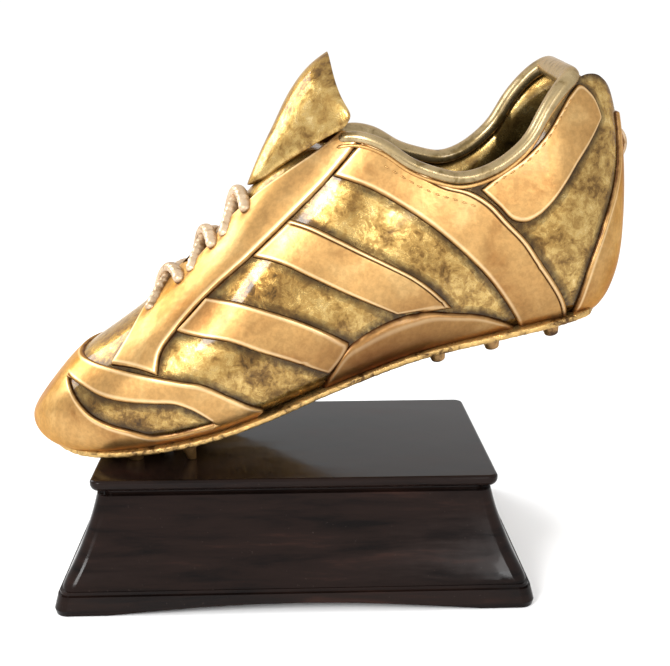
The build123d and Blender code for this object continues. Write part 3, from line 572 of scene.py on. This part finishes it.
def satin_gold(name="satin gold", tint=1.0, marked=True):
    """Pinkish gold with a satin coat: cloudy tone, a painted highlight along the shoulders, brown in grooves, painted
    shade at the waist.
    """
    material, tree, shader = finish(name, Metallic=0.88, Roughness=0.3, Coat_Weight=0.1, Coat_Roughness=0.12,
                                    Specular_Tint=(0.72, 0.42, 0.18, 1))
    cloud = ramp(tree, mottle(tree, 42, 5, 0.55, 0.5), [
        (0.28, (0.30 * tint, 0.145 * tint, 0.045 * tint)), (0.5, (0.44 * tint, 0.25 * tint, 0.088 * tint)),
        (0.72, (0.58 * tint, 0.37 * tint, 0.15 * tint))])
    speck = ramp(tree, mottle(tree, 520, 3, 0.7), [(0.35, 0.86), (0.65, 1.06)])
    colour = blend(tree, 1.0, cloud, speck, "MULTIPLY")
    if marked:
        rub = maths(tree, "ADD", mark(tree, "inset"), maths(tree, "MULTIPLY", mottle(tree, 190, 4, 0.6), 0.9))
        shade = ramp(tree, maths(tree, "DIVIDE", rub, 4.0), [(0.12, 0.0), (0.26, 0.86), (0.38, 1.0)])
        colour = blend(tree, shade, GROOVE_BROWN, colour)
        # Painted highlight: a pale gold band along each panel's rounded shoulder, just inside its brown edge.
        shoulder_highlight = ramp(tree, maths(tree, "DIVIDE", mark(tree, "inset"), 4.0),
                        [(0.20, 0.0), (0.36, 0.5), (0.62, 0.0)])
        colour = blend(tree, shoulder_highlight, colour, (0.95, 0.70, 0.40))
        colour = blend(tree, maths(tree, "MULTIPLY", mark(tree, "groove"), 0.85), colour, GROOVE_BROWN)
        blotch = ramp(tree, mottle(tree, 60, 5, 0.6), [(0.3, 0.85), (0.6, 1.0)])
        # Painted shade: the waist is darkened to a deep brown towards the sole, broken up by the blotch mottle.
        waist_shade_mix = maths(tree, "MULTIPLY", mark(tree, "waist_shade"), blotch)
        colour = blend(tree, waist_shade_mix, colour, (0.10, 0.034, 0.009))
    tree.links.new(colour, shader.inputs["Base Color"])
    gloss = ramp(tree, mottle(tree, 75, 4, 0.6), [(0.3, 0.29), (0.7, 0.44)])
    tree.links.new(gloss, shader.inputs["Roughness"])
    bump(tree, shader, mottle(tree, 260, 5, 0.6), 0.00018, 0.5)
    return material


def antique_gold(name="antique gold"):
    """Sponged antique gold under gloss: gold over olive brown, dark where it meets a raised panel, and painted shade
    inside the hollow.
    """
    material, tree, shader = finish(name, Metallic=0.85, Roughness=0.3, Coat_Weight=0.4, Coat_Roughness=0.08,
                                    Specular_Tint=(0.75, 0.52, 0.24, 1))
    broad = mottle(tree, 38, 4, 0.6, 0.5)
    fine = mottle(tree, 230, 8, 0.75, 0.4)
    sponge = maths(tree, "ADD", maths(tree, "MULTIPLY", broad, 0.42), maths(tree, "MULTIPLY", fine, 0.58))
    colour = ramp(tree, sponge, [
        (0.36, (0.045, 0.022, 0.005)), (0.43, (0.14, 0.072, 0.016)), (0.49, (0.29, 0.17, 0.045)),
        (0.56, (0.47, 0.31, 0.10)), (0.65, (0.70, 0.52, 0.23))])
    edge = maths(tree, "ADD", mark(tree, "edge"), maths(tree, "MULTIPLY", mottle(tree, 120, 5, 0.65, 0.6), 0.55))
    near_edge = ramp(tree, edge, [(0.30, 1.0), (0.75, 0.35), (1.15 / 1.5, 0.0)])
    colour = blend(tree, near_edge, colour, (0.035, 0.018, 0.005))
    # Painted shade: inside the hollow the gold gives way to a dark brown mottle, the more the deeper.
    dark = ramp(tree, fine, [(0.38, (0.02, 0.012, 0.004)), (0.52, (0.10, 0.065, 0.018)),
                             (0.66, (0.30, 0.21, 0.07))])
    colour = blend(tree, mark(tree, "lining_shade"), colour, dark)
    tree.links.new(colour, shader.inputs["Base Color"])
    tree.links.new(ramp(tree, fine, [(0.4, 0.42), (0.6, 0.22)]), shader.inputs["Roughness"])
    bump(tree, shader, fine, 0.00025, 0.5)
    return material


def worn_gold(name, light, dark, grain, depth, metallic=0.7, roughness=0.38, coat=0.3):
    """Cast gold with a grain: the light tone on the high spots, the dark one in the pits."""
    material, tree, shader = finish(name, Metallic=metallic, Roughness=roughness, Coat_Weight=coat,
                                    Coat_Roughness=0.15, Specular_Tint=(0.75, 0.5, 0.25, 1))
    pits = mottle(tree, grain, 6, 0.65, 0.5)
    cloud = mottle(tree, 45, 4, 0.6, 0.4)
    tone = maths(tree, "ADD", maths(tree, "MULTIPLY", pits, 0.55), maths(tree, "MULTIPLY", cloud, 0.45))
    between = tuple((a + 2 * b) / 3 for a, b in zip(dark, light))
    colour = ramp(tree, tone, [(0.38, dark), (0.50, between), (0.62, light)])
    tree.links.new(colour, shader.inputs["Base Color"])
    tree.links.new(ramp(tree, pits, [(0.35, roughness + 0.12), (0.65, roughness - 0.08)]), shader.inputs["Roughness"])
    bump(tree, shader, pits, depth, 0.7)
    return material


def black_lacquer():
    """Black gloss lacquer with a warm brown undertone, faint brush streaks and a few specks of dust."""
    material, tree, shader = finish("black lacquer", Roughness=0.16, Specular_Ior_Level=0.08, Coat_Weight=0.06,
                                    Coat_Roughness=0.03)
    streak = mottle(tree, 60, 6, 0.6, 0.3, stretch=(0.35, 1, 3))
    colour = ramp(tree, streak, [(0.3, (0.0035, 0.0022, 0.002)), (0.55, (0.010, 0.0052, 0.004)),
                                 (0.8, (0.030, 0.012, 0.008))])
    speck = ramp(tree, mottle(tree, 900, 2, 0.5), [(0.70, 0.0), (0.78, 0.35)])
    tree.links.new(blend(tree, speck, colour, (0.05, 0.035, 0.03)), shader.inputs["Base Color"])
    tree.links.new(ramp(tree, streak, [(0.3, 0.10), (0.7, 0.24)]), shader.inputs["Roughness"])
    bump(tree, shader, mottle(tree, 38, 3, 0.5), 0.0006, 0.25)
    return material


def black_felt():
    """Pressed felt: matte, fibrous, with a soft sheen."""
    material, tree, shader = finish("black felt", Roughness=0.95, Sheen_Weight=0.6, Sheen_Roughness=0.5)
    fibre = mottle(tree, 2200, 8, 0.8, 3.0)
    tree.links.new(ramp(tree, fibre, [(0.3, (0.006, 0.006, 0.007)), (0.7, (0.035, 0.034, 0.036))]),
                   shader.inputs["Base Color"])
    bump(tree, shader, fibre, 0.0003, 0.8)
    return material


def bare_metal(name, light, dark, roughness):
    """Machined metal: fine turning lines and a cloudy tarnish."""
    material, tree, shader = finish(name, Metallic=1.0, Roughness=roughness)
    lines = mottle(tree, 900, 3, 0.6, 0.0, stretch=(1, 1, 8))
    tree.links.new(ramp(tree, mottle(tree, 160, 5, 0.6), [(0.35, dark), (0.65, light)]), shader.inputs["Base Color"])
    tree.links.new(ramp(tree, lines, [(0.3, roughness - 0.08), (0.7, roughness + 0.12)]), shader.inputs["Roughness"])
    bump(tree, shader, lines, 0.00005, 0.5)
    return material


satin = satin_gold()
antique = antique_gold()
satin_thread = satin_gold("satin gold thread", 1.12, marked=False)
lace_gold = worn_gold("lace gold", (0.70, 0.53, 0.35), (0.22, 0.12, 0.045), 240, 0.0003, 0.6, 0.34, 0.45)
collar_gold = worn_gold("collar gold", (0.40, 0.30, 0.155), (0.15, 0.10, 0.032), 210, 0.00012, 0.8, 0.30, 0.5)
sole_gold = worn_gold("sole gold", (0.70, 0.45, 0.16), (0.085, 0.04, 0.012), 330, 0.0009, 0.8, 0.34, 0.2)
# Painted shade: the studs get a darker, browner copy of the sole's cast gold for the shade they sit in under the
# sole.
stud_shaded_gold = worn_gold("stud shaded_gold", (0.42, 0.24, 0.09), (0.05, 0.022, 0.008), 260, 0.0004, 0.85, 0.4, 0.3)
# Painted shade: the insole, at the bottom of the hollow, gets a dark brown gold.
lining_shade_dark = worn_gold("lining dark", (0.20, 0.13, 0.045), (0.015, 0.009, 0.003), 260, 0.0006, 0.6, 0.5, 0.2)
lacquer = black_lacquer()
felt = black_felt()
steel = bare_metal("zinc steel", (0.62, 0.62, 0.60), (0.42, 0.42, 0.42), 0.34)
brass = bare_metal("insert brass", (0.72, 0.52, 0.22), (0.50, 0.33, 0.11), 0.30)


def wear(thing, *materials):
    """Gives a new piece its materials."""
    thing.data.materials.clear()
    for material in materials:
        thing.data.materials.append(material)


# ---------------------------------------------------------------- body
def mouth_turn(x, side):
    """Turn at which the body ends: the crown where it is closed, else the cut under the padded rim."""
    cut = THROAT + [(px, pz - ROLL / 2) for px, pz in rim_knots(side)]
    return np.where(x < THROAT[0][0], np.pi / 2, turn_at(x, fair(x, cut)))


def panel_edges():
    """Points along every panel's outline, on both sides of the boot."""
    s = np.linspace(0, 1, 90)
    lines = []
    for upper, lower, _ in PANELS.values():
        for side in (LATERAL, MEDIAL):
            for x, z in (upper(s), lower(s)):
                lines.append(skin(x, turn_at(x, z), side))
    for knots in (TOE_UPPER[1:], CRESCENT_UPPER, CRESCENT_LOWER):
        x, z = side_curve(knots)(s)
        for side in (LATERAL, MEDIAL):
            lines.append(skin(x, turn_at(x, z), side))
    z = np.linspace(101, 176, 90)
    x = fair(z, HEEL_STRIP_EDGE)
    x_sole = np.linspace(-100, 118, 160)
    x_rim = np.linspace(16, 118, 120)
    for side in (LATERAL, MEDIAL):
        lines.append(skin(x, turn_at(x, z), side))
        lines.append(skin(x_sole, turn_at(x_sole, sole_line(SOLE_TOP)(x_sole)), side))
        lines.append(skin(x_rim, turn_at(x_rim, rim_height(x_rim, side, -ROLL / 2)), side))
    return lines


def nearest(points, lines):
    """Distance from each point to the nearest point of the lines."""
    best = np.full(points.shape[:-1], 1e3)
    for line in lines:
        apart = points[..., None, :] - line[::2]
        best = np.minimum(best, np.sqrt((apart**2).sum(-1)).min(-1))
    return best


def body_grid():
    """The body: stations across the boot, each a closed loop of outside, rim, and inside.

    Stations bunch at the ends by a cosine. Outside, turns run from one mouth edge under the keel to
    the other. Inside they follow the form shrunk by the wall, behind the start of the hollow, and a
    straight chord ahead of it.
    """
    ahead = TOE + 0.02 + (HEEL - TOE - 0.04) * (1 - np.cos(np.pi * np.linspace(0, 1, 210))) / 2
    x = np.sort(np.concatenate([ahead, [HOLLOW_START - 0.05, HOLLOW_START + 0.05]]))
    share = np.linspace(0, 1, 76)
    side_turns = {side: mouth_turn(x, side) for side in (LATERAL, MEDIAL)}
    down = side_turns[LATERAL][:, None] + (-np.pi / 2 - side_turns[LATERAL])[:, None] * share
    up = side_turns[MEDIAL][:, None] + (-np.pi / 2 - side_turns[MEDIAL])[:, None] * share[::-1]
    outside = np.concatenate([skin(x[:, None], down, LATERAL), skin(x[:, None], up, MEDIAL)[:, 1:]], 1)
    inner_x = np.clip(x, HOLLOW_START, HEEL - WALL - 0.05)[:, None]
    deep = np.linspace(0, 1, 40)
    parts = []
    for side, way in ((MEDIAL, deep), (LATERAL, deep[::-1])):
        top = skin(x, side_turns[side], side)[:, 2]
        start = turn_at(inner_x[:, 0], top, -WALL)[:, None]
        parts.append(skin(inner_x, start + (-np.pi / 2 - start) * way, side, -WALL))
    inside = np.concatenate([parts[0], parts[1][:, 1:]], 1)
    floor = (sole_line(INSOLE_TOP - 0.6)(inner_x[:, 0]))[:, None]
    inside[..., 2] = np.maximum(inside[..., 2], floor)
    chord = np.linspace(0, 1, inside.shape[1])[None, :, None]
    flat = outside[:, -1:] + (outside[:, :1] - outside[:, -1:]) * chord
    inside = np.where((x < HOLLOW_START)[:, None, None], flat, inside)
    closed = (side_turns[LATERAL] > np.pi / 2 - 1e-4) & (x > HOLLOW_START)
    inside = np.where(closed[:, None, None], outside[:, :1], inside)
    grid = np.concatenate([outside, inside[:, 1:-1]], 1)
    edge = np.clip(nearest(outside, panel_edges()) / 6, 0, 1)
    edge = np.concatenate([edge, np.ones(inside[:, 1:-1].shape[:2])], 1)
    # Painted shade inside the hollow: a quarter strength at the mouth, full from 16 mm down, none outside.
    depth = (np.maximum(outside[:, :1, 2], outside[:, -1:, 2]) - inside[:, 1:-1, 2]) / 16
    lining_shade = np.concatenate([np.zeros(outside.shape[:2]), np.clip(depth, 0.25, 1)], 1)
    for end, tip in ((0, [TOE, fair(TOE, SWAY), TOE_HEIGHT]), (-1, [HEEL, fair(HEEL, SWAY), HEEL_HEIGHT])):
        pole = np.broadcast_to(np.array(tip, float), grid[:1].shape)
        grid = np.concatenate([pole, grid]) if end == 0 else np.concatenate([grid, pole])
    pad = ((1, 1), (0, 0))
    return grid, {"edge": np.pad(edge, pad, "edge"), "lining_shade": np.pad(lining_shade, pad, "edge")}


grid, marks = body_grid()
body = piece("boot_body_shell", [grid], ["boot_body"], closed=True, marks=[marks])
wear(body, antique)

# ---------------------------------------------------------------- raised panels
for name, (upper, lower, engraved) in PANELS.items():
    for label, side in (("lateral", LATERAL), ("medial", MEDIAL)):
        spots = [(x, LACE_LANDING) for row in LACE_ROWS.values() for x in row] if name == "eyestay" else ()
        grids, marks = ribbon(upper, lower, side, engraved=engraved, spots=spots)
        wear(piece(f"{name}_{label}_skin", grids, [f"{name}_{label}"], marks=marks), satin)

grids, marks = toe_cap_grid()
wear(piece("toe_cap_skin", grids, ["toe_cap"], marks=marks), satin)
grids, marks = heel_strip_grid()
wear(piece("heel_strip_skin", grids, ["heel_strip"], marks=marks), satin)


# ---------------------------------------------------------------- collar, piping, stitches
def rim_path(offset, count=240):
    """Line on the form at an offset from the rim, from the lateral front round the heel and back."""
    halves = []
    for side in (LATERAL, MEDIAL):
        probe = np.linspace(100, RIM[-1][0], 2000)
        beyond = rim_height(probe, side, offset) >= form_lines(probe)[3]
        end = probe[np.argmax(beyond)]
        s = np.linspace(0, 1, 300)
        x = RIM[0][0] + (end - RIM[0][0]) * (1 - (1 - s) ** 2)
        halves.append(skin(x, turn_at(x, rim_height(x, side, offset)), side))
    return evenly(np.concatenate([halves[0], halves[1][::-1]]), count, 6)


path = rim_path(0.0)
normal = outward(path)
share = np.clip((path[:, 0] - 88) / 26, 0, 1)
heelward = share**2 * (3 - 2 * share)  # 0 along the sides, 1 round the heel
roll_path = path + normal * (-1.3 + 3.0 * heelward)[:, None]
half_height = ROLL / 2 + 1.4 * heelward
wear(piece("collar_roll_skin", [tube(roll_path, half_height, 3.9, normal, 30, 2.3)],
           ["collar_roll"], closed=True), collar_gold)

piping_path = rim_path(-ROLL / 2 - 0.4)
piping_path = piping_path + outward(piping_path) * 1.3
wear(piece("collar_piping", [tube(piping_path, 0.7, 0.7, outward(piping_path), 12)], closed=True),
     satin_thread)


def stitch_grids(line, side, spacing=3.4, length=1.05, thickness=0.38):
    """A stitch every few millimetres along a line of (x, z): small ellipsoids lying on the panel."""
    x, z = line(np.linspace(0, 1, 400))
    path = grown(skin(x, turn_at(x, z), side), PANEL)
    total = np.linalg.norm(np.diff(path, axis=0), axis=1).sum()
    path = evenly(path, int(total / spacing) * 2 + 1)
    along = np.gradient(path, axis=0)[1::2]
    centre = path[1::2]
    along /= np.linalg.norm(along, axis=1, keepdims=True)
    up = outward(centre)
    aside = np.cross(along, up)
    polar, turn = np.linspace(0, np.pi, 7)[:, None], np.linspace(0, 2 * np.pi, 9)[None]
    shape = np.stack(np.broadcast_arrays(length * np.cos(polar), thickness * np.sin(polar) * np.cos(turn),
                                         thickness * np.sin(polar) * np.sin(turn)), -1)
    axes = np.stack([along, aside, up], 1)
    return list(centre[:, None, None] + np.einsum("rck,nkd->nrcd", shape, axes))


def inset_line(knots, x_from, x_to, drop):
    """Side view line under a panel edge, moved down by a drop."""
    return lambda s: (x_from + (x_to - x_from) * s, fair(x_from + (x_to - x_from) * s, knots) - drop)


STITCHED_BAND = [(31, 164), (42, 157.5), (50, 153.6), (60, 150.6), (68, 148)]
stitches = []
for side in (LATERAL, MEDIAL):
    stitches += stitch_grids(inset_line(STITCHED_BAND, 32, 66, 5.2), side)
    stitches += stitch_grids(inset_line(ANKLE_UPPER[:7], 71, 100, 2.2), side)
wear(piece("collar_stitches", stitches), satin_thread)

# ---------------------------------------------------------------- tongue
TONGUE_LINE = [(-17.6, 148.5), (-12.5, 160), (-7, 171), (-0.5, 183.6), (6, 192), (13.0, 197.6)]
TONGUE_HALF = [(0, 6), (0.2, 12), (0.4, 19), (0.62, 25.5), (0.82, 25.5), (0.94, 20), (1, 17)]
TONGUE_SAG = [(0, 1), (0.2, 5), (0.4, 11), (0.62, 18.5), (0.82, 18), (0.94, 13), (1, 10)]
TONGUE_THICKNESS = 3.2


def tongue_grid():
    """A leaf: along its middle line, each section droops by a parabola and is thick as a lens."""
    v = (1 - np.cos(np.pi * np.linspace(0, 1, 90))) / 2
    x, z = side_curve(TONGUE_LINE)(v)
    middle = np.stack([x, fair(x, SWAY), z], -1)
    along = np.gradient(middle, axis=0)
    along /= np.linalg.norm(along, axis=1, keepdims=True)
    forward = np.cross(along, [0, 1.0, 0])
    ends = closing(v, 0.12) * closing(1 - v, 0.22)
    half, sag = fair(v, TONGUE_HALF) * ends, fair(v, TONGUE_SAG) * ends**2
    thick = TONGUE_THICKNESS * closing(np.minimum(v, 1 - v), 0.35)
    turn = np.linspace(0, 2 * np.pi, 64, endpoint=False)
    across, over = np.cos(turn), np.sin(turn)
    back = -sag[:, None] * across**2 + thick[:, None] * (np.sign(over) * np.abs(over) ** 0.8 - 0.9)
    return middle[:, None] + forward[:, None] * back[..., None] \
        + np.array([0, 1.0, 0]) * (half[:, None] * across)[..., None]


wear(piece("tongue_leaf", [tongue_grid()], ["tongue"], closed=True,
           marks=[{"edge": 1.0, "lining_shade": 0.0}]), antique)

# ---------------------------------------------------------------- laces and loop
for name, (low, high) in LACE_ROWS.items():
    cords = []
    for lift, start, end in ((0.0, low, high), (3.2, high, low)):
        s = np.linspace(-1, 1, 90)
        x = (start + end) / 2 + (end - start) / 2 * s
        y = LACE_LANDING * s
        half, _, wide, crown = form_lines(x)
        power = fair(x, ROUNDNESS)
        ground = wide + (crown - wide) * (1 - np.abs(y - fair(x, SWAY)) ** power / half**power) ** (1 / power)
        line = np.stack([x, y, ground + 1.0 + (1.2 + lift) * (1 - s**2) ** 0.7], -1)
        cords.append(tube(line, LACE_RADIUS + 0.5, LACE_RADIUS + 0.1, (0, 0, 1.0), 16, 2.0, 0.05))
    wear(piece(f"{name}_cords", cords, [name], closed=True), lace_gold)

turn = np.linspace(-np.pi / 2, np.pi / 2, 40)
loop = np.stack([LOOP_X + LOOP_REACH * np.cos(turn), np.full(40, fair(LOOP_X, SWAY)),
                 LOOP_Z - LOOP_HALF * np.sin(turn)], -1)
away = np.stack([np.cos(turn), 0 * turn, -np.sin(turn)], -1)
wear(piece("heel_loop_cord", [tube(loop, 2.4, 1.1, away, 16, 2.4)], ["heel_loop"], closed=True),
     lace_gold)


# ---------------------------------------------------------------- sole and studs
def sole_grid():
    """The outsole: stations across the boot, each a flat loop with a rounded rim.

    The half width is that of the form 3 mm inside its widest line, the rim wanders a little as hand
    worked foil does.
    """
    start, end = TOE + 3.02, 118.0
    x = start + (end - start) * (1 - np.cos(np.pi * np.linspace(0, 1, 260))) / 2
    half = form_lines(x, -3.0)[0]
    low, high = sole_line(-SOLE_DROP)(x), sole_line(SOLE_TOP)(x)
    turn = np.linspace(0, 2 * np.pi, 64, endpoint=False)
    across, up = np.cos(turn), np.sin(turn)
    width = np.sign(across) * np.abs(across) ** 0.12
    rise = np.sign(up) * np.abs(up) ** 0.7
    half = half * closing(end + 0.1 - x, 9.0, 2.4)
    wander = 0.25 * np.sin(x * 1.31 + 1.5 * np.sin(x * 0.37)) + 0.18 * np.sin(x * 2.9 + 0.7)
    y = fair(x, SWAY)[:, None] + (half - 0.35 + wander * 0.8)[:, None] * width
    z = ((low + high) / 2)[:, None] + ((high - low) / 2)[:, None] * rise
    grid = np.stack(np.broadcast_arrays(x[:, None], y, z), -1)
    first = np.broadcast_to(grid[:1].mean(1, keepdims=True), grid[:1].shape)
    last = np.broadcast_to(grid[-1:].mean(1, keepdims=True), grid[:1].shape)
    return np.concatenate([first, grid, last])


wear(piece("outsole_foil", [sole_grid()], ["outsole"], closed=True), sole_gold)


def stud_grid(x, y, length, flat_at=None):
    """A stud: a turned profile, waisted at its root and rounded at its tip, square to the sole."""
    rise = (sole_line(0)(np.array(x + 2.0)) - sole_line(0)(np.array(x - 2.0))) / 4
    axis = np.array([float(rise), 0, -1.0])
    axis /= np.linalg.norm(axis)
    aside, ahead = np.array([0, 1.0, 0]), np.cross([0, 1.0, 0], axis)
    s = np.linspace(0, 1, 26)
    radius = (STUD_RADIUS - 0.25 * length * s) * closing(1 - s, 0.18)
    turn = np.linspace(0, 2 * np.pi, 28, endpoint=False)
    root = np.array([x, y, float(sole_line(0.4)(np.array(x)))])
    ring = aside * np.cos(turn)[:, None] + ahead * np.sin(turn)[:, None]
    grid = root + axis * (s * length)[:, None, None] + ring * radius[:, None, None]
    if flat_at is not None:
        grid[..., 2] = np.maximum(grid[..., 2], flat_at)
    return grid


rear = [stud_grid(x, fair(x, SWAY) + side * REAR_STUD_Y, STUD_LENGTH + 1)
        for x in REAR_STUDS for side in (LATERAL, MEDIAL)]
wear(piece("rear_studs_turned", rear, ["rear_studs"], closed=True), stud_shaded_gold)
front = [stud_grid(x, fair(x, SWAY) + side * FRONT_STUD_Y, FRONT_STUD_LENGTH, DRAWN_SEAT + 0.02)
         for x in FRONT_STUDS for side in (LATERAL, MEDIAL)]
wear(piece("front_studs_turned", front, ["front_studs"], closed=True), stud_shaded_gold)

# ---------------------------------------------------------------- carried-over CAD nodes
CARRIED = {"plinth_cap": lacquer, "plinth_block": lacquer, "plinth_foot": lacquer, "felt_pad": felt,
           "insole": lining_shade_dark, "boot_insert": brass, "fixing_bolt": steel, "bolt_washer": steel}
for name, material in CARRIED.items():
    node_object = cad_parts[name]
    for holder in node_object.material_slots:
        holder.material = material


# ---------------------------------------------------------------- floor and light
def panel_light(name, location, target, size, power, colour=(1, 1, 1)):
    """A soft box that faces its target."""
    lamp = bpy.data.objects.new(name, bpy.data.lights.new(name, "AREA"))
    lamp.data.shape = "RECTANGLE"
    lamp.data.size, lamp.data.size_y = size
    lamp.data.energy, lamp.data.color = power, colour
    way = np.array(target, float) - np.array(location, float)
    lamp.location = location
    lamp.rotation_euler = (math.acos(-way[2] / np.linalg.norm(way)), 0,
                           math.atan2(way[1], way[0]) - math.pi / 2)
    bpy.context.scene.collection.objects.link(lamp)


floor_mesh = bpy.data.meshes.new("floor")
floor_mesh.from_pydata([(-4, -4, 0), (4, -4, 0), (4, 4, 0), (-4, 4, 0)], [], [(0, 1, 2, 3)])
floor = bpy.data.objects.new("floor", floor_mesh)
floor.location = (0, 0, cad_box[0][2] - 0.0002)
bpy.context.scene.collection.objects.link(floor)
pale, tree, shader = finish("pale floor", Roughness=0.9, Specular_Ior_Level=0.1)
tree.links.new(ramp(tree, mottle(tree, 3, 3, 0.5), [(0.3, (0.95, 0.95, 0.95)), (0.7, (0.97, 0.97, 0.97))]),
               shader.inputs["Base Color"])
floor_mesh.materials.append(pale)

world = bpy.data.worlds.new("studio")
bpy.context.scene.world = world
world.use_nodes = True
world.node_tree.nodes["Background"].inputs["Color"].default_value = (1, 1, 1, 1)
world.node_tree.nodes["Background"].inputs["Strength"].default_value = 1.06
bpy.context.scene.view_settings.view_transform = "Standard"

AIM = (0.0, 0.0, 0.12)
panel_light("key", (-0.5, -0.75, 0.6), AIM, (0.22, 0.35), 7)
panel_light("rim", (-0.9, 0.55, 0.6), AIM, (0.6, 0.6), 8, (0.93, 0.97, 1.0))
panel_light("front", (0.3, -0.9, 0.42), AIM, (0.12, 0.3), 2.2)
